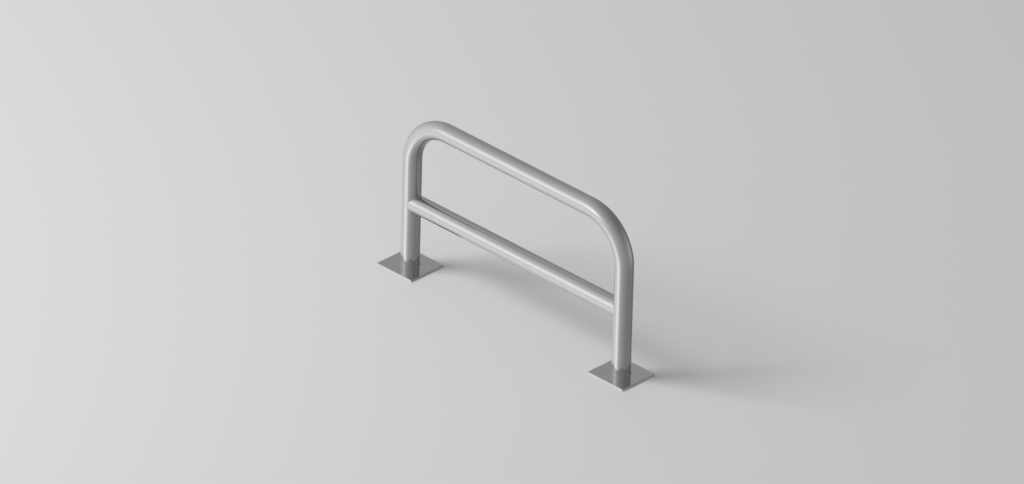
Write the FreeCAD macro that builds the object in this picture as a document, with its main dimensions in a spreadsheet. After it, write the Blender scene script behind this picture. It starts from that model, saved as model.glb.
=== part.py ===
import FreeCAD, Part
import math
import os
import Sketcher
from FreeCAD import Placement, Rotation, Vector

# Hoop bike rack: one bent tube, a coped cross rail of the same tube, a base plate under each leg,
# and a long hexagon nut hidden in each foot that a stud set in the ground screws into.
# Millimetres. +X runs along the hoop, +Y across it and +Z up. The origin is on the ground, midway
# between the legs. The legs stand at -X (left) and +X (right).

doc = FreeCAD.newDocument("hoop_bike_rack")
sheet = doc.addObject("Spreadsheet::Sheet", "Sizes")


class Length:
    """A number together with the sheet formula that it follows, so that both stay in step."""

    def __init__(self, number, formula):
        self.number = float(number)
        self.formula = formula

    def __add__(self, other):
        other = length(other)
        return Length(self.number + other.number, "(%s + %s)" % (self.formula, other.formula))

    def __sub__(self, other):
        other = length(other)
        return Length(self.number - other.number, "(%s - %s)" % (self.formula, other.formula))

    def __mul__(self, other):
        other = length(other)
        return Length(self.number * other.number, "(%s * %s)" % (self.formula, other.formula))

    def __truediv__(self, other):
        other = length(other)
        return Length(self.number / other.number, "(%s / %s)" % (self.formula, other.formula))


def length(value):
    """Take a plain number as a length, or a length as it is."""
    return value if isinstance(value, Length) else Length(value, "(%r)" % float(value))


def root(value):
    """The square root of a length's number, with its formula."""
    return Length(math.sqrt(value.number), "sqrt(%s)" % value.formula)


def size(alias, number, meaning):
    """Write one driving dimension into the sheet and give it back as a length."""
    size.row += 1
    sheet.set("A%d" % size.row, meaning)
    sheet.set("B%d" % size.row, str(number))
    sheet.setAlias("B%d" % size.row, alias)
    return Length(number, "Sizes." + alias)


size.row = 0

# Driving dimensions

rack_height = size("rack_height", 710, "ground to the top of the hoop")
leg_spacing = size("leg_spacing", 1160, "between the centrelines of the legs")
bend_radius = size("bend_radius", 190, "of the hoop's centreline, two and a half diameters")
rail_height = size("rail_height", 290, "ground to the centreline of the cross rail")

tube_diameter = size("tube_diameter", 76.1, "outside, hoop and rail alike")
tube_wall = size("tube_wall", 3, "hoop and rail alike")
ear_trim = size("ear_trim", 5, "taken off the thin ears of each cope, back from the leg's axis")
vent_diameter = size("vent_diameter", 10, "hole in each leg that lets the rail breathe")

plate_length = size("plate_length", 190, "base plate, along the hoop")
plate_width = size("plate_width", 180, "base plate, across the hoop")
plate_thickness = size("plate_thickness", 8, "base plate")
plate_corner = size("plate_corner", 3, "radius of the plate's corners")
plate_edge_break = size("plate_edge_break", 0.8, "chamfer round the plate's top edge")
stud_clearance_hole = size("stud_clearance_hole", 18, "diameter, in the plate, for an M16 stud")

nut_flats = size("nut_flats", 24, "M16 long hexagon nut, across the flats")
nut_length = size("nut_length", 48, "M16 long hexagon nut, three diameters")
tapping_diameter = size("tapping_diameter", 14, "tapping drill for the nut's M16 thread")

foot_weld_leg = size("foot_weld_leg", 3, "flat fillet round each leg's foot")
rail_weld_leg = size("rail_weld_leg", 3, "flat fillet over and under the rail's ends")
rail_weld_inset = size("rail_weld_inset", 0.2, "weld face narrower than the tube, a side, so it fades out")
nut_weld_leg = size("nut_weld_leg", 4, "flat fillet along the nut's six sides")
weld_toe = size("weld_toe", 0.05, "width left at the nut weld's edges")

# Lengths that follow from them

tube_radius = tube_diameter / 2
tube_bore = tube_diameter - tube_wall * 2
leg_offset = leg_spacing / 2
top_height = rack_height - tube_radius
bend_start = top_height - bend_radius

LEFT = -1
RIGHT = 1
SIDE_NAMES = {LEFT: "left", RIGHT: "right"}

sub_parts = []


def drive(item, prop, value):
    """Tie one property of an object to the sheet."""
    item.setExpression(prop, length(value).formula)


def new_body(label):
    """Start a sub-part that is made of sketches and features."""
    body = doc.addObject("PartDesign::Body", label)
    body.Label = label
    sub_parts.append(body)
    return body


def stand_at_leg(item, side):
    """Put a piece that was made round its own Z axis on the axis of one leg."""
    drive(item, "Placement.Base.x", leg_offset * side)


def new_sketch(body, name, plane_role):
    """Start a sketch on one of the body's own origin planes."""
    sketch = body.newObject("Sketcher::SketchObject", name)
    plane = [item for item in body.Origin.OriginFeatures if item.Role == plane_role][0]
    sketch.AttachmentSupport = [(plane, "")]
    sketch.MapMode = "FlatFace"
    return sketch


def hold(sketch, name, kind, *where_and_value):
    """Add a dimension to a sketch, named and tied to the sheet. The last argument is its value."""
    *where, value = where_and_value
    value = length(value)
    index = sketch.addConstraint(Sketcher.Constraint(kind, *where, value.number))
    sketch.renameConstraint(index, name)
    sketch.setExpression("Constraints." + name, value.formula)


def hold_point(sketch, name, geometry, point, across, up):
    """Hold a point at its distances from the sketch's origin."""
    if length(across).number == 0:
        sketch.addConstraint(Sketcher.Constraint("PointOnObject", geometry, point, -2))
    else:
        hold(sketch, name + "_across", "DistanceX", -1, 1, geometry, point, across)
    if length(up).number == 0:
        sketch.addConstraint(Sketcher.Constraint("PointOnObject", geometry, point, -1))
    else:
        hold(sketch, name + "_up", "DistanceY", -1, 1, geometry, point, up)


def draw_line(sketch, start, end):
    return sketch.addGeometry(Part.LineSegment(start, end), False)


def draw_arc(sketch, centre, radius, start, end):
    """An arc, anticlockwise from one angle to the other."""
    circle = Part.Circle(centre, Vector(0, 0, 1), radius)
    return sketch.addGeometry(Part.ArcOfCircle(circle, start, end), False)


def draw_circle(sketch, name, across, up, diameter):
    """A circle with its centre and diameter held."""
    centre = Vector(length(across).number, length(up).number, 0)
    circle = sketch.addGeometry(Part.Circle(centre, Vector(0, 0, 1), diameter.number / 2), False)
    hold_point(sketch, name, circle, 3, across, up)
    hold(sketch, name + "_diameter", "Diameter", circle, diameter)


def draw_polygon(sketch, corners):
    """A closed outline through named corners, each held at its distances from the origin."""
    spots = [Vector(length(across).number, length(up).number, 0) for _, across, up in corners]
    first = None
    for index, (name, across, up) in enumerate(corners):
        following = spots[(index + 1) % len(spots)]
        line = draw_line(sketch, spots[index], following)
        if first is None:
            first = line
        else:
            sketch.addConstraint(Sketcher.Constraint("Coincident", line - 1, 2, line, 1))
        hold_point(sketch, name, line, 1, across, up)
    sketch.addConstraint(Sketcher.Constraint("Coincident", line, 2, first, 1))


def edges_where(shape, wanted):
    """The names of the edges that pass a test."""
    return ["Edge%d" % (index + 1) for index, edge in enumerate(shape.Edges) if wanted(edge)]


def is_upright(edge):
    box = edge.BoundBox
    return box.ZLength > box.XLength + box.YLength


def top_edges(shape):
    """The edges that lie wholly in the upper half of a slab."""
    middle = (shape.BoundBox.ZMin + shape.BoundBox.ZMax) / 2
    return edges_where(shape, lambda edge: edge.BoundBox.ZMin > middle)


# The hoop: one tube bent twice

def draw_hoop_line(sketch):
    """The hoop's centreline: leg, bend, top, bend, leg, each tangent to the next."""
    out = leg_offset.number
    foot = plate_thickness.number
    bend = bend_radius.number
    straight_top = bend_start.number
    top = top_height.number
    quarter = math.pi / 2
    left_leg = draw_line(sketch, Vector(-out, foot, 0), Vector(-out, straight_top, 0))
    left_bend = draw_arc(sketch, Vector(-out + bend, straight_top, 0), bend, quarter, 2 * quarter)
    across = draw_line(sketch, Vector(-out + bend, top, 0), Vector(out - bend, top, 0))
    right_bend = draw_arc(sketch, Vector(out - bend, straight_top, 0), bend, 0, quarter)
    right_leg = draw_line(sketch, Vector(out, straight_top, 0), Vector(out, foot, 0))
    for constraint in (
        Sketcher.Constraint("Tangent", left_leg, 2, left_bend, 2),
        Sketcher.Constraint("Tangent", left_bend, 1, across, 1),
        Sketcher.Constraint("Tangent", across, 2, right_bend, 2),
        Sketcher.Constraint("Tangent", right_bend, 1, right_leg, 1),
        Sketcher.Constraint("Vertical", left_leg),
        Sketcher.Constraint("Vertical", right_leg),
        Sketcher.Constraint("Equal", left_bend, right_bend),
        Sketcher.Constraint("Symmetric", left_leg, 1, right_leg, 2, -2),
    ):
        sketch.addConstraint(constraint)
    hold(sketch, "foot_height", "DistanceY", -1, 1, left_leg, 1, plate_thickness)
    hold(sketch, "leg_to_leg", "DistanceX", left_leg, 1, right_leg, 2, leg_spacing)
    hold(sketch, "top_axis", "DistanceY", -1, 1, across, 1, top_height)
    hold(sketch, "bend", "Radius", left_bend, bend_radius)


def draw_tube_section(sketch, up=0):
    """Outside and bore of the tube, one inside the other."""
    draw_circle(sketch, "outside", 0, up, tube_diameter)
    draw_circle(sketch, "bore", 0, up, tube_bore)


def cut_through(body, sketch, name):
    """Cut a sketch right through the body, both ways."""
    doc.recompute()
    pocket = body.newObject("PartDesign::Pocket", name)
    pocket.Profile = sketch
    pocket.Type = "ThroughAll"
    pocket.SideType = "Symmetric"
    body.Tip = pocket


def make_hoop():
    body = new_body("hoop_tube")
    line = new_sketch(body, "hoop_line", "XZ_Plane")
    draw_hoop_line(line)
    section = new_sketch(body, "hoop_section", "XY_Plane")
    drive(section, "AttachmentOffset.Base.x", leg_offset * -1)
    drive(section, "AttachmentOffset.Base.z", plate_thickness)
    draw_tube_section(section)
    doc.recompute()
    tube = body.newObject("PartDesign::AdditivePipe", "bent_tube")
    tube.Profile = section
    tube.Spine = (line, ["Edge%d" % (index + 1) for index in range(len(line.Shape.Edges))])
    # a hole through the inner wall of each leg, hidden under the rail's end
    vent = new_sketch(body, "vent_section", "YZ_Plane")
    draw_circle(vent, "vent", 0, rail_height, vent_diameter)
    doc.recompute()
    vents = body.newObject("PartDesign::Pocket", "vents")
    vents.Profile = vent
    vents.SideType = "Symmetric"
    drive(vents, "Length", leg_spacing)
    body.Tip = vents
    return body


# The cross rail: the same tube, coped round both legs

def make_cross_rail():
    body = new_body("cross_rail")
    section = new_sketch(body, "rail_section", "YZ_Plane")
    draw_tube_section(section, rail_height)
    blank = body.newObject("PartDesign::Pad", "rail_blank")
    blank.Profile = section
    blank.SideType = "Symmetric"
    drive(blank, "Length", leg_spacing - ear_trim * 2)
    # each leg's own outside cuts its cope, so the rail always seats
    legs = new_sketch(body, "leg_outsides", "XY_Plane")
    for side in (LEFT, RIGHT):
        draw_circle(legs, SIDE_NAMES[side], leg_offset * side, 0, tube_diameter)
    cut_through(body, legs, "copes")
    return body


# The base plates

def make_base_plate(side):
    body = new_body("base_plate_" + SIDE_NAMES[side])
    outline = new_sketch(body, "plate_outline", "XY_Plane")
    half_along = plate_length / 2
    half_across = plate_width / 2
    draw_polygon(outline, [
        ("near_left", half_along * -1, half_across * -1),
        ("near_right", half_along, half_across * -1),
        ("far_right", half_along, half_across),
        ("far_left", half_along * -1, half_across),
    ])
    slab = body.newObject("PartDesign::Pad", "plate_slab")
    slab.Profile = outline
    drive(slab, "Length", plate_thickness)
    doc.recompute()
    corners = body.newObject("PartDesign::Fillet", "plate_corners")
    corners.Base = (slab, edges_where(slab.Shape, is_upright))
    drive(corners, "Radius", plate_corner)
    doc.recompute()
    edge_break = body.newObject("PartDesign::Chamfer", "plate_edge_break")
    edge_break.Base = (corners, top_edges(corners.Shape))
    drive(edge_break, "Size", plate_edge_break)
    hole = new_sketch(body, "stud_hole_outline", "XY_Plane")
    draw_circle(hole, "stud_hole", 0, 0, stud_clearance_hole)
    cut_through(body, hole, "stud_hole")
    stand_at_leg(body, side)
    return body


# The long nuts stand on the plates, inside the legs, over the holes for the studs. The thread goes
# right through, so that the closed tubes can breathe while they are welded and drain afterwards.

def draw_hexagon(sketch, flats):
    """A hexagon round the sketch's origin, with two of its sides along the rack."""
    corner_reach = flats / root(length(3))
    half_side = corner_reach / 2
    half_flats = flats / 2
    draw_polygon(sketch, [
        ("right", corner_reach, 0),
        ("far_right", half_side, half_flats),
        ("far_left", half_side * -1, half_flats),
        ("left", corner_reach * -1, 0),
        ("near_left", half_side * -1, half_flats * -1),
        ("near_right", half_side, half_flats * -1),
    ])


def pad_on_plate(body, name, flats, height):
    """A hexagon raised from the top of the plate."""
    outline = new_sketch(body, name + "_outline", "XY_Plane")
    drive(outline, "AttachmentOffset.Base.z", plate_thickness)
    draw_hexagon(outline, flats)
    pad = body.newObject("PartDesign::Pad", name)
    pad.Profile = outline
    drive(pad, "Length", height)
    return pad


def make_anchor_nut(side):
    body = new_body("anchor_nut_" + SIDE_NAMES[side])
    pad_on_plate(body, "nut_blank", nut_flats, nut_length)
    thread = new_sketch(body, "thread_outline", "XY_Plane")
    draw_circle(thread, "thread", 0, 0, tapping_diameter)
    cut_through(body, thread, "thread")
    stand_at_leg(body, side)
    return body


# The welds: flat fillets, dressed smooth

def make_nut_weld(side):
    """A low hexagon with its upper edges chamfered, less the nut, is a fillet with mitred corners."""
    body = new_body("nut_weld_" + SIDE_NAMES[side])
    blank = pad_on_plate(body, "weld_blank", nut_flats + nut_weld_leg * 2, nut_weld_leg)
    doc.recompute()
    slope = body.newObject("PartDesign::Chamfer", "weld_slope")
    slope.Base = (blank, top_edges(blank.Shape))
    drive(slope, "Size", nut_weld_leg - weld_toe)
    nut = new_sketch(body, "nut_outline", "XY_Plane")
    draw_hexagon(nut, nut_flats)
    cut_through(body, nut, "beside_nut")
    stand_at_leg(body, side)
    return body


def make_foot_weld(side):
    body = new_body("foot_weld_" + SIDE_NAMES[side])
    section = new_sketch(body, "foot_weld_section", "XZ_Plane")
    draw_polygon(section, [
        ("root", tube_radius, plate_thickness),
        ("plate_toe", tube_radius + foot_weld_leg, plate_thickness),
        ("leg_toe", tube_radius, plate_thickness + foot_weld_leg),
    ])
    doc.recompute()
    ring = body.newObject("PartDesign::Revolution", "foot_weld_ring")
    ring.Profile = section
    ring.ReferenceAxis = (section, ["V_Axis"])
    ring.Angle = 360
    body.Tip = ring
    stand_at_leg(body, side)
    return body


# The rail's welds. Two equal tubes that cross at right angles meet along two flat curves, each
# half an ellipse at 45 degrees, and a flat fillet between them has toes that are half ellipses
# too. So its face is part of an oval rod that lies at 45 degrees across the corner, and the weld
# is that rod less both tubes. The rod is a little narrower than the tubes, so the weld fades out
# at the flanks, where the tubes are level with each other.
# The weld is made in the corner towards +X and +Z, and turned into the corner it belongs in.

TURN_TO_CORNER = {
    (LEFT, "top"): Rotation(),
    (LEFT, "bottom"): Rotation(Vector(1, 0, 0), 180),
    (RIGHT, "top"): Rotation(Vector(0, 0, 1), 180),
    (RIGHT, "bottom"): Rotation(Vector(0, 1, 0), 180),
}


def rod(label, radius, half_length, axis):
    """A solid cylinder along an axis, centred on the joint."""
    solid = doc.addObject("Part::Cylinder", label)
    drive(solid, "Radius", radius)
    drive(solid, "Height", half_length * 2)
    direction = {"x": Vector(1, 0, 0), "z": Vector(0, 0, 1)}[axis]
    solid.Placement = Placement(Vector(0, 0, 0), Rotation(Vector(0, 0, 1), direction))
    drive(solid, "Placement.Base." + axis, half_length * -1)
    return solid


def cut(label, base, tool):
    """One solid less another."""
    result = doc.addObject("Part::Cut", label)
    result.Base = base
    result.Tool = tool
    return result


def make_rail_weld(side, level):
    label = "rail_weld_%s_%s" % (SIDE_NAMES[side], level)
    root_two = root(length(2))
    tube_reach = tube_diameter * 2
    rod_length = rail_weld_leg * 2
    outwards = Rotation(Vector(0, 1, 0), -45)

    oval = doc.addObject("Part::Ellipse", label + "_oval")
    drive(oval, "MajorRadius", (tube_diameter + rail_weld_leg) / root_two)
    drive(oval, "MinorRadius", tube_radius - rail_weld_inset)
    oval.Placement = Placement(Vector(0, 0, 0), outwards)
    oval_rod = doc.addObject("Part::Extrusion", label + "_oval_rod")
    oval_rod.Base = oval
    oval_rod.DirMode = "Normal"
    oval_rod.Solid = True
    oval_rod.Symmetric = True
    drive(oval_rod, "LengthFwd", rod_length)

    # only the half towards the corner, with a box twice as long as the rod
    corner = doc.addObject("Part::Box", label + "_corner")
    drive(corner, "Length", tube_diameter)
    drive(corner, "Width", tube_diameter)
    drive(corner, "Height", rod_length * 2)
    corner.Placement = Placement(Vector(0, 0, 0), outwards)
    aside = rod_length / root_two
    drive(corner, "Placement.Base.x", aside)
    drive(corner, "Placement.Base.y", tube_radius * -1)
    drive(corner, "Placement.Base.z", aside * -1)
    blank = doc.addObject("Part::Common", label + "_blank")
    blank.Base = oval_rod
    blank.Tool = corner

    beside_leg = cut(label + "_beside_leg", blank, rod(label + "_leg", tube_radius, tube_reach, "z"))
    weld = cut(label, beside_leg, rod(label + "_rail", tube_radius, tube_reach, "x"))
    weld.Placement = Placement(Vector(0, 0, 0), TURN_TO_CORNER[(side, level)])
    stand_at_leg(weld, side)
    drive(weld, "Placement.Base.z", rail_height)
    sub_parts.append(weld)
    return weld


make_hoop()
make_cross_rail()
for side in (LEFT, RIGHT):
    make_base_plate(side)
    make_anchor_nut(side)
    make_nut_weld(side)
    make_foot_weld(side)
    for level in ("top", "bottom"):
        make_rail_weld(side, level)
doc.recompute()

# Nothing is written unless every object of the document came out sound

for item in doc.Objects:
    if "Invalid" in item.State or "Error" in item.State:
        raise RuntimeError("%s did not compute: %s" % (item.Label, item.State))
for sub_part in sub_parts:
    shape = sub_part.Shape
    if shape.isNull() or not shape.isValid() or len(shape.Solids) != 1:
        raise RuntimeError("%s is not one valid solid" % sub_part.Label)

# The bent tube holds as much metal as its section times the length of its centreline

section_area = math.pi * (tube_radius.number ** 2 - (tube_bore.number / 2) ** 2)
straights = 2 * (bend_start - plate_thickness).number + (leg_spacing - bend_radius * 2).number
bends = math.pi * bend_radius.number
hoop_share = doc.getObject("bent_tube").Shape.Volume / (section_area * (straights + bends))
print("hoop centreline %.1f mm, volume over section times length %.5f"
      % (straights + bends, hoop_share))
if abs(hoop_share - 1) > 0.001:
    raise RuntimeError("the bent tube is not a whole tube")

os.makedirs("parts", exist_ok=True)
for sub_part in sub_parts:
    sub_part.Shape.exportStep("parts/%s.step" % sub_part.Label)
    box = sub_part.Shape.optimalBoundingBox(False, False)
    print("%-24s volume %10.1f mm3, x %8.2f to %8.2f, y %7.2f to %7.2f, z %7.2f to %7.2f"
          % (sub_part.Label, sub_part.Shape.Volume,
             box.XMin, box.XMax, box.YMin, box.YMax, box.ZMin, box.ZMax))
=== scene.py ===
# %% [markdown]
# # A hoop bike rack in polished stainless tube
#
# This lesson dresses a bike rack: one long tube bent twice into a hoop, a straight rail welded
# between its legs, and a flat plate under each foot. The solids come from the CAD model, which is
# loaded first and is the measure of everything. Blender adds what the solids leave out: the
# smooth skins, the dressed welds, the grain that a polishing belt leaves, and the light.

# %% Load the solids
import math

import bmesh
import bpy
from mathutils import Matrix, Vector


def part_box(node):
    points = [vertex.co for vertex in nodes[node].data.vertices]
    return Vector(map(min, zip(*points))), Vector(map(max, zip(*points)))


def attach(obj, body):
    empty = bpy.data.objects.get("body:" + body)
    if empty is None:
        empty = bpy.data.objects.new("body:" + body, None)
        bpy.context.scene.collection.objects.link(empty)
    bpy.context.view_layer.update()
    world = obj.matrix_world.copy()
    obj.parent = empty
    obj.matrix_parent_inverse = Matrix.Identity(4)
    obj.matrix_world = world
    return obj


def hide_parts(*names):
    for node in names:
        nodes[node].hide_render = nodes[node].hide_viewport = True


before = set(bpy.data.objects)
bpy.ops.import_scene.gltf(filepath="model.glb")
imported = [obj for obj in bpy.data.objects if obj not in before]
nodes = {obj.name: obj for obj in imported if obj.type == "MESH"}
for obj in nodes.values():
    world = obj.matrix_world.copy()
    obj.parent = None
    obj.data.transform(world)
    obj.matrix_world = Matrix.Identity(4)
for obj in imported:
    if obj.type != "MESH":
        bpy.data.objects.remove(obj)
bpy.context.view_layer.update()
print("solids:", ", ".join(sorted(nodes)))

# %% [markdown]
# ## Sizes
#
# A maker would read these from the drawing. Most of them can be read from the solids: the tube's
# diameter is how far the hoop reaches across, the legs stand one diameter less apart than the
# hoop is long, and the feet are the hoop's lowest level, on top of the plates. Only the bend's
# radius, the wall and the small sizes of the welds are repeated here, because no box shows them.

# %% Read the sizes
hoop_low, hoop_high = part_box("hoop_tube")
rail_low, rail_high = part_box("cross_rail")

tube_radius = (hoop_high.y - hoop_low.y) / 2
leg_offset = hoop_high.x - tube_radius
top_level = hoop_high.z - tube_radius
foot_level = hoop_low.z
rail_level = (rail_low.z + rail_high.z) / 2
rail_reach = rail_high.x
ear_trim = leg_offset - rail_reach
bend_radius = 0.190
tube_wall = 0.003
foot_weld_leg = 0.003
rail_weld_leg = 0.003
weld_sink = 0.00004
print(f"tube radius {tube_radius:.5f}, legs at {leg_offset:.4f}, top line {top_level:.4f}")
print(f"feet at {foot_level:.4f}, rail line {rail_level:.4f}, rail reaches {rail_reach:.4f}")

# %% [markdown]
# ## The camera
#
# The rack is seen from its front right, from about thirty degrees above the ground, and
# everything that is parallel on the rack stays parallel in the picture. A very long lens far away
# does that. The picture is also tilted by a degree and a half, so the camera is rolled by as
# much. The ground between the legs lies below the picture's middle and a little to its right, so
# the camera is aimed as many pixels above it and beside it.

# %% Set up the camera
azimuth, elevation, roll = (math.radians(angle) for angle in (43.98, 29.74, 1.57))
picture_width, picture_pixels = 3.9854, 1024
lens, sensor, distance, clip_distance = 700.0, 36.0, 77.73, 300.0
pixels_right, pixels_up = -3.11, 78.11
metres_per_pixel = picture_width / picture_pixels

away = Vector((math.sin(azimuth) * math.cos(elevation),
               -math.cos(azimuth) * math.cos(elevation),
               math.sin(elevation)))
level_right = Vector((math.cos(azimuth), math.sin(azimuth), 0))
level_up = away.cross(level_right)
right = math.cos(roll) * level_right + math.sin(roll) * level_up
up = away.cross(right)

aim = pixels_right * metres_per_pixel * right + pixels_up * metres_per_pixel * up
camera_data = bpy.data.cameras.new("camera")
camera_data.lens = lens
camera_data.sensor_width = sensor
camera_data.clip_end = clip_distance
camera = bpy.data.objects.new("camera", camera_data)
camera.matrix_world = Matrix((right, up, away)).transposed().to_4x4()
camera.location = aim + distance * away
bpy.context.scene.collection.objects.link(camera)
bpy.context.scene.camera = camera
bpy.context.scene.view_settings.view_transform = "Standard"
print(f"camera {distance:.1f} m away, {picture_width:.3f} m wide picture")

# %% [markdown]
# ## A helper for nodes
#
# Geometry and materials are both built from nodes. The helper makes one node, sets its options,
# and fills its inputs, either with a number or with a wire from another node's output.

# %% Make one node
def add_node(tree, kind, inputs=None, **options):
    made = tree.nodes.new(kind)
    for name, value in options.items():
        setattr(made, name, value)
    for key, value in (inputs or {}).items():
        if isinstance(value, bpy.types.NodeSocket):
            tree.links.new(value, made.inputs[key])
        else:
            made.inputs[key].default_value = value
    return made


def add_math(tree, operation, first, second=0.0):
    return add_node(tree, "ShaderNodeMath", {0: first, 1: second}, operation=operation).outputs[0]


# %% [markdown]
# ## Building blocks for a finish
#
# Polished steel is never one even grey. Its grain, its smudges and its scratches are all noise,
# only stretched in different ways: a noise that is squeezed in one direction turns into lines.
# These helpers make such a noise, turn it into a range of greys or of gloss, and let it raise the
# surface a little. A painted picture could do the same, but it would blur close up.

# %% Start and close a finish
def new_finish(name):
    finish = bpy.data.materials.new(name)
    finish.use_nodes = True
    finish.node_tree.nodes.clear()
    return finish, finish.node_tree


def close_finish(tree, shade):
    add_node(tree, "ShaderNodeOutputMaterial", {"Surface": shade.outputs["BSDF"]})


def steel_shade(tree, tone, roughness, normal):
    grey = add_node(tree, "ShaderNodeCombineColor", {"Red": tone, "Green": tone, "Blue": tone})
    close_finish(tree, add_node(tree, "ShaderNodeBsdfPrincipled",
                                {"Base Color": grey.outputs[0], "Metallic": 1.0,
                                 "Roughness": roughness, "Normal": normal}))


# %% Make noise, lines and bumps
def stretched_noise(tree, place, stretch, detail, scale=1.0):
    turned = add_node(tree, "ShaderNodeMapping", {"Vector": place, "Scale": stretch})
    return add_node(tree, "ShaderNodeTexNoise",
                    {"Vector": turned.outputs[0], "Scale": scale, "Detail": detail}).outputs["Fac"]


def ramp_between(tree, value, dark, light, low=0.3, high=0.7):
    """Spread a value over a new range. Nearly all of a noise lies between 0.3 and 0.7."""
    return add_node(tree, "ShaderNodeMapRange",
                    {"Value": value, "From Min": low, "From Max": high, "To Min": dark,
                     "To Max": light}).outputs["Result"]


def fine_lines(tree, place, turn, stretch, width):
    """Thin stray lines, 1 on a line and 0 between: the places where a noise is at its middle."""
    noise_middle = 0.5
    turned = add_node(tree, "ShaderNodeMapping", {"Vector": place, "Rotation": turn})
    noise = stretched_noise(tree, turned.outputs[0], stretch, detail=0.0)
    off_line = add_math(tree, "ABSOLUTE", add_math(tree, "SUBTRACT", noise, noise_middle))
    return ramp_between(tree, off_line, dark=1.0, light=0.0, low=0.0, high=width)


def blend_two(tree, first, second, share):
    return add_math(tree, "ADD", add_math(tree, "MULTIPLY", first, 1 - share),
                    add_math(tree, "MULTIPLY", second, share))


def bump_up(tree, height, strength, depth, under=None):
    given = {"Strength": strength, "Distance": depth, "Height": height}
    if under:
        given["Normal"] = under
    return add_node(tree, "ShaderNodeBump", given).outputs[0]


# %% [markdown]
# ## The polished steel
#
# A stainless tube is polished with a belt that runs round it, so its scratches are fine rings,
# and they smear each reflection a little along the tube. The metal itself is nearly colourless.
# What makes it look real is small: rings of slightly different gloss, a faint waviness left by
# the wheel, and a few stray scratches. The rings must follow the bends, so they don't read the
# place in space. Each tube carries an attribute called grain: where the point was on the straight
# tube, before it was bent.

# %% Build the tube's finish
def tube_finish(name, grey, gloss, scratch_gloss=0.10):
    finish, tree = new_finish(name)
    grain = add_node(tree, "ShaderNodeAttribute", attribute_name="grain").outputs["Vector"]
    rings = stretched_noise(tree, grain, (6.0, 6.0, 700.0), detail=3.0)
    bands = stretched_noise(tree, grain, (4.0, 4.0, 24.0), detail=2.0)
    waves = stretched_noise(tree, grain, (26.0, 26.0, 9.0), detail=1.0)
    smudges = stretched_noise(tree, grain, (30.0, 30.0, 14.0), detail=4.0)
    scratches = fine_lines(tree, grain, (0.0, 0.5, 0.0), (60.0, 60.0, 5.0), width=0.004)
    tone = ramp_between(tree, blend_two(tree, rings, smudges, share=0.4),
                        dark=0.96 * grey, light=1.04 * grey)
    patches = blend_two(tree, bands, smudges, share=0.6)
    uneven = ramp_between(tree, blend_two(tree, rings, patches, share=0.6),
                          dark=0.75 * gloss, light=1.25 * gloss)
    roughness = add_math(tree, "ADD", uneven,
                         add_math(tree, "MULTIPLY", scratches, scratch_gloss))
    normal = bump_up(tree, rings, strength=0.12, depth=0.0002)
    normal = bump_up(tree, waves, strength=0.25, depth=0.0004, under=normal)
    normal = bump_up(tree, scratches, strength=0.10, depth=-0.0001, under=normal)
    steel_shade(tree, tone, roughness, normal)
    print(f"{name}: {len(tree.nodes)} nodes")
    return finish


hoop_finish = tube_finish("polished_hoop", grey=0.60, gloss=0.12)
rail_finish = tube_finish("polished_rail", grey=0.60, gloss=0.12)

# %% [markdown]
# ## The hoop
#
# The real hoop is one straight tube, bent twice round a former. Its shape follows a rule: a path
# of three straight runs with two round corners, and a circle carried along it. Geometry Nodes can
# hold that rule, so a change of radius or diameter redraws the whole hoop. Joining a cylinder for
# each run would leave seams. The same tree also makes the rail, whose path has no corner.

# %% Start and end a tree
def new_tree(name, takes, gives, sizes):
    tree = bpy.data.node_groups.new(name, "GeometryNodeTree")
    tree.interface.new_socket(takes, in_out="INPUT", socket_type="NodeSocketGeometry")
    for label, kind in sizes.items():
        tree.interface.new_socket(label, in_out="INPUT", socket_type="NodeSocket" + kind)
    tree.interface.new_socket(gives, in_out="OUTPUT", socket_type="NodeSocketGeometry")
    return tree


def finish_tree(tree, shape, finish):
    real = add_node(tree, "GeometryNodeRealizeInstances", {"Geometry": shape})
    dressed = add_node(tree, "GeometryNodeSetMaterial",
                       {"Geometry": real.outputs[0], "Material": finish})
    add_node(tree, "NodeGroupOutput", {0: dressed.outputs[0]})


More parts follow.
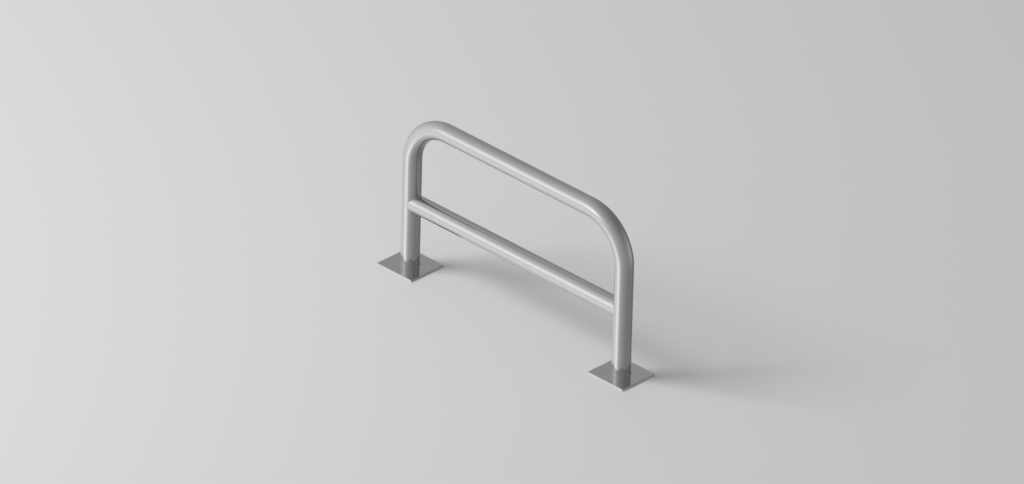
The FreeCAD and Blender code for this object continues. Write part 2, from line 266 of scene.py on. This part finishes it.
# %% Build the tube tree
def tube_tree():
    tree = new_tree("tube_on_a_path", "Path", "Tube",
                    {"Bend radius": "Float", "Bend rings": "Int", "Tube radius": "Float",
                     "Sides": "Int", "Finish": "Material"})
    given = add_node(tree, "NodeGroupInput").outputs
    path = add_node(tree, "GeometryNodeMeshToCurve", {"Mesh": given["Path"]})
    bent = add_node(tree, "GeometryNodeFilletCurve",
                    {"Curve": path.outputs[0], "Radius": given["Bend radius"],
                     "Count": given["Bend rings"], "Limit Radius": True}, mode="POLY")
    run = add_node(tree, "GeometryNodeSplineParameter").outputs["Length"]
    marked = add_node(tree, "GeometryNodeCaptureAttribute", {"Geometry": bent.outputs[0]})
    marked.capture_items.new("FLOAT", "along")
    tree.links.new(run, marked.inputs["along"])
    circle = add_node(tree, "GeometryNodeCurvePrimitiveCircle",
                      {"Radius": given["Tube radius"], "Resolution": given["Sides"]})
    section = add_node(tree, "GeometryNodeCaptureAttribute", {"Geometry": circle.outputs[0]})
    section.capture_items.new("VECTOR", "across")
    tree.links.new(add_node(tree, "GeometryNodeInputPosition").outputs[0],
                   section.inputs["across"])
    skin = add_node(tree, "GeometryNodeCurveToMesh",
                    {"Curve": marked.outputs[0], "Profile Curve": section.outputs[0]})
    flat = add_node(tree, "ShaderNodeSeparateXYZ", {0: section.outputs["across"]})
    grain = add_node(tree, "ShaderNodeCombineXYZ",
                     {"X": flat.outputs["X"], "Y": flat.outputs["Y"],
                      "Z": marked.outputs["along"]})
    kept = add_node(tree, "GeometryNodeStoreNamedAttribute",
                    {"Geometry": skin.outputs[0], "Name": "grain", "Value": grain.outputs[0]},
                    data_type="FLOAT_VECTOR", domain="POINT")
    smooth = add_node(tree, "GeometryNodeSetShadeSmooth", {"Geometry": kept.outputs[0]})
    finish_tree(tree, smooth.outputs[0], given["Finish"])
    return tree


tube_on_a_path = tube_tree()
print("tube tree:", len(tube_on_a_path.nodes), "nodes")

# %% [markdown]
# ## From a path to a finished piece
#
# The path is drawn as a mesh of bare edges. The tree turns it into the tube's outer skin, and a
# Solidify modifier gives the skin its wall, inwards, with the two ends closed by flat rings. Then
# the result is baked into a plain mesh, because other programs can't read the tree.

# %% Draw a path and give it a tree
def fill_inputs(modifier, values):
    for item in modifier.node_group.interface.items_tree:
        if item.item_type == "SOCKET" and item.in_out == "INPUT" and item.name in values:
            modifier[item.identifier] = values[item.name]


def drawn_object(name, points, edges):
    mesh = bpy.data.meshes.new(name)
    mesh.from_pydata(points, edges, [])
    drawn = bpy.data.objects.new(name, mesh)
    bpy.context.scene.collection.objects.link(drawn)
    return drawn


def add_tree(drawn, tree, **values):
    modifier = drawn.modifiers.new(tree.name, "NODES")
    modifier.node_group = tree
    fill_inputs(modifier, {name.replace("_", " "): value for name, value in values.items()})


# %% Bake the result and put it in place of its solids
def bake_piece(drawn, sharp_angle=40):
    """Turn the tree's result into a plain mesh, with an edge wherever it turns sharply."""
    bpy.context.view_layer.update()
    evaluated = drawn.evaluated_get(bpy.context.evaluated_depsgraph_get())
    mesh = bpy.data.meshes.new_from_object(evaluated)
    drawn.modifiers.clear()
    drawn.data = mesh
    mesh.name = drawn.name
    mesh.set_sharp_from_angle(angle=math.radians(sharp_angle))
    print(f"{drawn.name}: {len(mesh.vertices)} points, {len(mesh.polygons)} faces")


def add_wall(drawn):
    wall = drawn.modifiers.new("wall", "SOLIDIFY")
    wall.thickness = tube_wall
    wall.offset = -1
    wall.use_even_offset = True


def hand_in(piece, slot_name, *solids):
    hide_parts(*solids)
    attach(piece, "root")


# %% Bend the hoop
sides_round_a_tube, rings_in_a_bend = 96, 40
corners = [(-leg_offset, 0, foot_level), (-leg_offset, 0, top_level),
           (leg_offset, 0, top_level), (leg_offset, 0, foot_level)]
hoop = drawn_object("hoop", corners, [(0, 1), (1, 2), (2, 3)])
add_tree(hoop, tube_on_a_path, Bend_radius=bend_radius, Bend_rings=rings_in_a_bend,
         Tube_radius=tube_radius, Sides=sides_round_a_tube, Finish=hoop_finish)
add_wall(hoop)
bake_piece(hoop)
hand_in(hoop, "hoop_steel", "hoop_tube")

# %% [markdown]
# ## The cross rail
#
# The rail is the same tube, cut to fit round the legs. A tube shop calls the cut a cope. Its rule
# is short: no point of the rail may come nearer to the leg's centre line than the leg's radius. A
# second tree applies it to every point, in the outer skin and in the wall alike, so the end takes
# the saddle shape by itself. Right beside the leg the two ears stop a little early, as the rail's
# solid does.

# %% Build the cope tree
def cope_tree():
    tree = new_tree("coped_ends", "Square tube", "Coped tube",
                    {"Leg offset": "Float", "Leg radius": "Float", "Ear trim": "Float",
                     "Finish": "Material"})
    given = add_node(tree, "NodeGroupInput").outputs
    place = add_node(tree, "ShaderNodeSeparateXYZ",
                     {0: add_node(tree, "GeometryNodeInputPosition").outputs[0]}).outputs
    radius_squared = add_math(tree, "POWER", given["Leg radius"], 2.0)
    side_squared = add_math(tree, "POWER", add_math(tree, "ABSOLUTE", place["Y"]), 2.0)
    left_over = add_math(tree, "MAXIMUM",
                         add_math(tree, "SUBTRACT", radius_squared, side_squared), 0.0)
    depth = add_math(tree, "MAXIMUM", add_math(tree, "SQRT", left_over), given["Ear trim"])
    reach = add_math(tree, "SUBTRACT", given["Leg offset"], depth)
    length = add_math(tree, "MINIMUM", add_math(tree, "ABSOLUTE", place["X"]), reach)
    along = add_math(tree, "MULTIPLY", length, add_math(tree, "SIGN", place["X"]))
    moved = add_node(tree, "ShaderNodeCombineXYZ",
                     {"X": along, "Y": place["Y"], "Z": place["Z"]})
    coped = add_node(tree, "GeometryNodeSetPosition",
                     {"Geometry": given["Square tube"], "Position": moved.outputs[0]})
    finish_tree(tree, coped.outputs[0], given["Finish"])
    return tree


coped_ends = cope_tree()
print("cope tree:", len(coped_ends.nodes), "nodes")

# %% Cut and cope the rail
runs = 23
rail_points = [((2 * i / runs - 1) * rail_reach, 0, rail_level) for i in range(runs + 1)]
rail = drawn_object("rail", rail_points, [(i, i + 1) for i in range(runs)])
add_tree(rail, tube_on_a_path, Bend_radius=0.0, Bend_rings=1,
         Tube_radius=tube_radius, Sides=sides_round_a_tube, Finish=rail_finish)
add_wall(rail)
add_tree(rail, coped_ends, Leg_offset=leg_offset, Leg_radius=tube_radius,
         Ear_trim=ear_trim, Finish=rail_finish)
bake_piece(rail)
hand_in(rail, "rail_steel", "cross_rail")

# %% [markdown]
# ## Plates, nuts and welds
#
# The plates are flat and the nuts are hexagons, so their solids are already right and only need a
# finish. The plates are polished brighter than the tubes and mirror the legs. Their scratches run
# every way, because people stand on them. The welds are dressed with a softer wheel, so they are
# duller and a little darker: a hollow bead mirrors the bright upper part of the surround, and would
# otherwise stand out as a pale ring. These pieces have no bends, so their finish reads plain object
# coordinates.

# %% Build the flat finishes
def flat_finish(name, grey, gloss, grain_stretch, scuffs=0.0):
    finish, tree = new_finish(name)
    place = add_node(tree, "ShaderNodeTexCoord").outputs["Object"]
    lines = stretched_noise(tree, place, grain_stretch, detail=3.0)
    clouds = stretched_noise(tree, place, (1.0, 1.0, 1.0), detail=4.0, scale=18.0)
    one_way = fine_lines(tree, place, (0.0, 0.0, 0.6), (9.0, 90.0, 9.0), width=0.004)
    other_way = fine_lines(tree, place, (0.0, 0.0, -1.1), (7.0, 110.0, 7.0), width=0.003)
    scratches = add_math(tree, "MAXIMUM", one_way, other_way)
    patches = blend_two(tree, lines, clouds, share=0.6)
    tone = ramp_between(tree, patches, dark=0.95 * grey, light=1.04 * grey)
    uneven = ramp_between(tree, patches, dark=0.65 * gloss, light=1.35 * gloss)
    roughness = add_math(tree, "ADD", uneven, add_math(tree, "MULTIPLY", scratches, scuffs))
    normal = bump_up(tree, lines, strength=0.08, depth=0.0002)
    normal = bump_up(tree, scratches, strength=scuffs, depth=-0.0001, under=normal)
    steel_shade(tree, tone, roughness, normal)
    print(f"{name}: {len(tree.nodes)} nodes")
    return finish


plate_finish = flat_finish("polished_plate", grey=0.64, gloss=0.07,
                           grain_stretch=(30.0, 600.0, 30.0), scuffs=0.12)
weld_finish = flat_finish("dressed_weld", grey=0.50, gloss=0.16,
                          grain_stretch=(260.0, 260.0, 260.0))
nut_finish = flat_finish("drawn_bar", grey=0.52, gloss=0.20,
                         grain_stretch=(800.0, 800.0, 12.0))

# %% Dress the plates, nuts and nut welds
def dress_solid(name, finish):
    solid = nodes[name]
    if not solid.material_slots:
        solid.data.materials.append(finish)
    for holder in solid.material_slots:
        holder.material = finish


for side in ("left", "right"):
    dress_solid(f"base_plate_{side}", plate_finish)
    dress_solid(f"anchor_nut_{side}", nut_finish)
    dress_solid(f"nut_weld_{side}", weld_finish)
print("dressed the plates, the nuts and the nuts' welds, left and right")

# %% [markdown]
# ## The foot welds
#
# Each leg is welded to its plate all round, and the small bead is ground and polished into a
# hollow curve, so that from a distance it is only a thin line. The solid has a flat face there.
# The bead is one section that runs round the leg, so it is again a path with a section on it, and
# a third tree makes it. Only the section is drawn. The tree's own circle is the path. Along that
# circle the section's first axis points outwards and its second one downwards, so the section is
# drawn upside down.

# %% Build the bead tree
def bead_tree():
    tree = new_tree("bead_round_a_leg", "Section", "Bead",
                    {"Ring radius": "Float", "Steps": "Int", "Foot": "Vector",
                     "Finish": "Material"})
    given = add_node(tree, "NodeGroupInput").outputs
    section = add_node(tree, "GeometryNodeMeshToCurve", {"Mesh": given["Section"]})
    ring = add_node(tree, "GeometryNodeCurvePrimitiveCircle",
                    {"Radius": given["Ring radius"], "Resolution": given["Steps"]})
    level = add_node(tree, "GeometryNodeSetCurveNormal", {"Curve": ring.outputs[0]}, mode="Z_UP")
    bead = add_node(tree, "GeometryNodeCurveToMesh",
                    {"Curve": level.outputs[0], "Profile Curve": section.outputs[0]})
    stood = add_node(tree, "GeometryNodeTransform",
                     {"Geometry": bead.outputs[0], "Translation": given["Foot"]})
    smooth = add_node(tree, "GeometryNodeSetShadeSmooth", {"Geometry": stood.outputs[0]})
    finish_tree(tree, smooth.outputs[0], given["Finish"])
    return tree


bead_round_a_leg = bead_tree()
print("bead tree:", len(bead_round_a_leg.nodes), "nodes")

# %% Run a bead round each foot
def hollow_arc(leg, steps):
    """Points of a quarter circle from (0, leg) to (leg, 0), hollow side out."""
    turns = [math.radians(90 * i / steps) for i in range(steps + 1)]
    return [(leg - leg * math.cos(t), leg - leg * math.sin(t)) for t in turns]


def fillet_section(leg, steps=8):
    """The fillet's outline, as (out, up) from the corner, with its back sunk into both walls."""
    arc = hollow_arc(leg, steps)
    return arc + [(leg, -weld_sink), (-weld_sink, -weld_sink), (-weld_sink, leg)]


foot_section = [(out, -up, 0) for out, up in fillet_section(foot_weld_leg)]
loop = [(i, (i + 1) % len(foot_section)) for i in range(len(foot_section))]
for side, centre in (("left", -leg_offset), ("right", leg_offset)):
    ring = drawn_object(f"foot_fillet_{side}", foot_section, loop)
    add_tree(ring, bead_round_a_leg, Ring_radius=tube_radius, Steps=sides_round_a_tube,
             Foot=(centre, 0, foot_level), Finish=weld_finish)
    bake_piece(ring)
    hand_in(ring, "weld_steel", f"foot_weld_{side}")

# %% [markdown]
# ## The rail welds
#
# Over and under each end of the rail the two tubes meet square, and a weld fills the corner. At
# the flanks they run level into each other, so the weld fades to nothing. The corner's line is
# where both tubes have the same distance to their centre lines: at a side distance y, both reach
# out by the square root of radius squared less y squared. The same hollow section walks along
# that line and shrinks as it comes to the flank, and stops 86 degrees round, where it is too thin
# to see. It has to stay upright all the way, while a tree's sections stand square to their path,
# so mesh code lays its rows instead.

# %% Make a piece with mesh code
same_place = 1e-7


def new_piece(name, mesh_maker, finish, sharp_angle=35):
    mesh = bmesh.new()
    mesh_maker(mesh)
    bmesh.ops.remove_doubles(mesh, verts=mesh.verts, dist=same_place)
    bmesh.ops.recalc_face_normals(mesh, faces=mesh.faces)
    for face in mesh.faces:
        face.smooth = True
    made = drawn_object(name, [], [])
    mesh.to_mesh(made.data)
    mesh.free()
    made.data.materials.append(finish)
    made.data.set_sharp_from_angle(angle=math.radians(sharp_angle))
    print(f"{name}: {len(made.data.polygons)} faces")
    return made


# %% Lay the rail welds
flank_turn = 86


def rail_weld(mesh, side, above, steps=64):
    rows = []
    for i in range(steps + 1):
        turn = math.radians(flank_turn * (2 * i / steps - 1))
        y, corner = tube_radius * math.sin(turn), tube_radius * math.cos(turn)
        leg = rail_weld_leg * math.cos(turn)
        rows.append([mesh.verts.new((side * (leg_offset - corner - out), y,
                                     rail_level + above * (corner + rise)))
                     for out, rise in fillet_section(leg)])
    count = len(rows[0])
    for row, after in zip(rows, rows[1:]):
        for j in range(count):
            mesh.faces.new((row[j], after[j], after[(j + 1) % count], row[(j + 1) % count]))
    mesh.faces.new(rows[0])
    mesh.faces.new(rows[-1])


for side, sign in (("left", -1), ("right", 1)):
    for level, above in (("top", 1), ("bottom", -1)):
        fillet = new_piece(f"rail_fillet_{side}_{level}",
                           lambda mesh: rail_weld(mesh, sign, above), weld_finish)
        hand_in(fillet, "weld_steel", f"rail_weld_{side}_{level}")

# %% [markdown]
# ## The floor
#
# The rack stands on a plain pale floor. A photographer wants two things at once: a pale ground
# under the steel, and steel that isn't washed out by it. In a studio, dark cloth is laid just out
# of the picture. Here the floor is only left out of mirrored rays, so the steel mirrors the
# planned surround below, in place of the floor.

# %% Lay the floor
def floor_finish():
    finish, tree = new_finish("pale_floor")
    shade = add_node(tree, "ShaderNodeBsdfPrincipled",
                     {"Base Color": (0.80, 0.80, 0.80, 1), "Roughness": 0.55})
    close_finish(tree, shade)
    return finish


def square(mesh, half=40):
    corners = [mesh.verts.new((x, y, 0)) for x, y in
               ((-half, -half), (half, -half), (half, half), (-half, half))]
    mesh.faces.new(corners)


floor = new_piece("floor", square, floor_finish())
floor.visible_glossy = False
floor.visible_shadow = False

# %% [markdown]
# ## The light
#
# A polished tube shows what is round it more than it shows itself, so the surround is planned as
# carefully as the steel. It is a tent of pale cloth with a few soft glows in it, each strongest
# in one direction and fading evenly round it. The wide one on the left shapes the tubes. A small
# one above the horizon draws the bright line along the top tube and the rail, and a small one
# below it does the same for the legs. A still smaller one shows only on the bends, as a bright
# spot. The rest are weak, and keep the shaded edges readable.

# %% Plan the glows
def towards(turn, height):
    """A direction: turn is degrees from the front to the left, height is degrees upwards."""
    turn, height = math.radians(turn), math.radians(height)
    return Vector((-math.sin(turn) * math.cos(height), -math.cos(turn) * math.cos(height),
                   math.sin(height)))


tent_grey = 0.16
glows = {"wide_left": (towards(53, 4), 0.62, 1.9), "tube_line": (towards(34, 18), 0.45, 50.0),
         "hot_spot": (towards(25, 12), 0.65, 175.0), "leg_line": (towards(24, -33), 0.53, 62.0),
         "card_left": (towards(66, -37), 0.24, 4.5), "card_right": (towards(-70, -2), 0.16, 4.9),
         "back_right": (towards(-136, -1), 0.33, 20.0)}
print("glows in the tent:", ", ".join(glows))

# %% Hang the tent
def add_glow(tree, way, direction, amount, focus):
    facing = add_node(tree, "ShaderNodeVectorMath", {0: way, 1: direction},
                      operation="DOT_PRODUCT").outputs["Value"]
    half_turned = add_node(tree, "ShaderNodeMapRange", {"Value": facing, "From Min": -1.0})
    narrowed = add_math(tree, "POWER", half_turned.outputs["Result"], focus)
    return add_math(tree, "MULTIPLY", narrowed, amount)


def tent():
    world = bpy.data.worlds.new("tent")
    bpy.context.scene.world = world
    world.use_nodes = True
    tree = world.node_tree
    tree.nodes.clear()
    way = add_node(tree, "ShaderNodeTexCoord").outputs["Generated"]
    total = tent_grey
    for direction, amount, focus in glows.values():
        total = add_math(tree, "ADD", total, add_glow(tree, way, direction, amount, focus))
    cloth = add_node(tree, "ShaderNodeBackground", {"Color": (1, 1, 1, 1), "Strength": total})
    add_node(tree, "ShaderNodeOutputWorld", {"Surface": cloth.outputs[0]})
    print(f"tent: {len(tree.nodes)} nodes")


tent()

# %% [markdown]
# ## The floor lamp
#
# The tent alone leaves the rack without a shadow, and the rack would seem to float. One large
# lamp on the left lights the floor and sets the rack down on it with a soft shadow. The steel
# doesn't mirror it.

# %% Set up the floor lamp
def soft_lamp(name, beside, direction, far, width, power):
    lamp_data = bpy.data.lights.new(name, "AREA")
    lamp_data.size = width
    lamp_data.energy = power
    lamp = bpy.data.objects.new(name, lamp_data)
    lamp.location = Vector(beside) + far * direction
    lamp.rotation_euler = direction.to_track_quat("Z", "Y").to_euler()
    lamp.visible_glossy = False
    bpy.context.scene.collection.objects.link(lamp)
    print(f"{name}: {far} m away, {power} W")


soft_lamp("floor_lamp", (0.3, -0.3, 0), towards(50, 42), far=12.0, width=4.8, power=780)
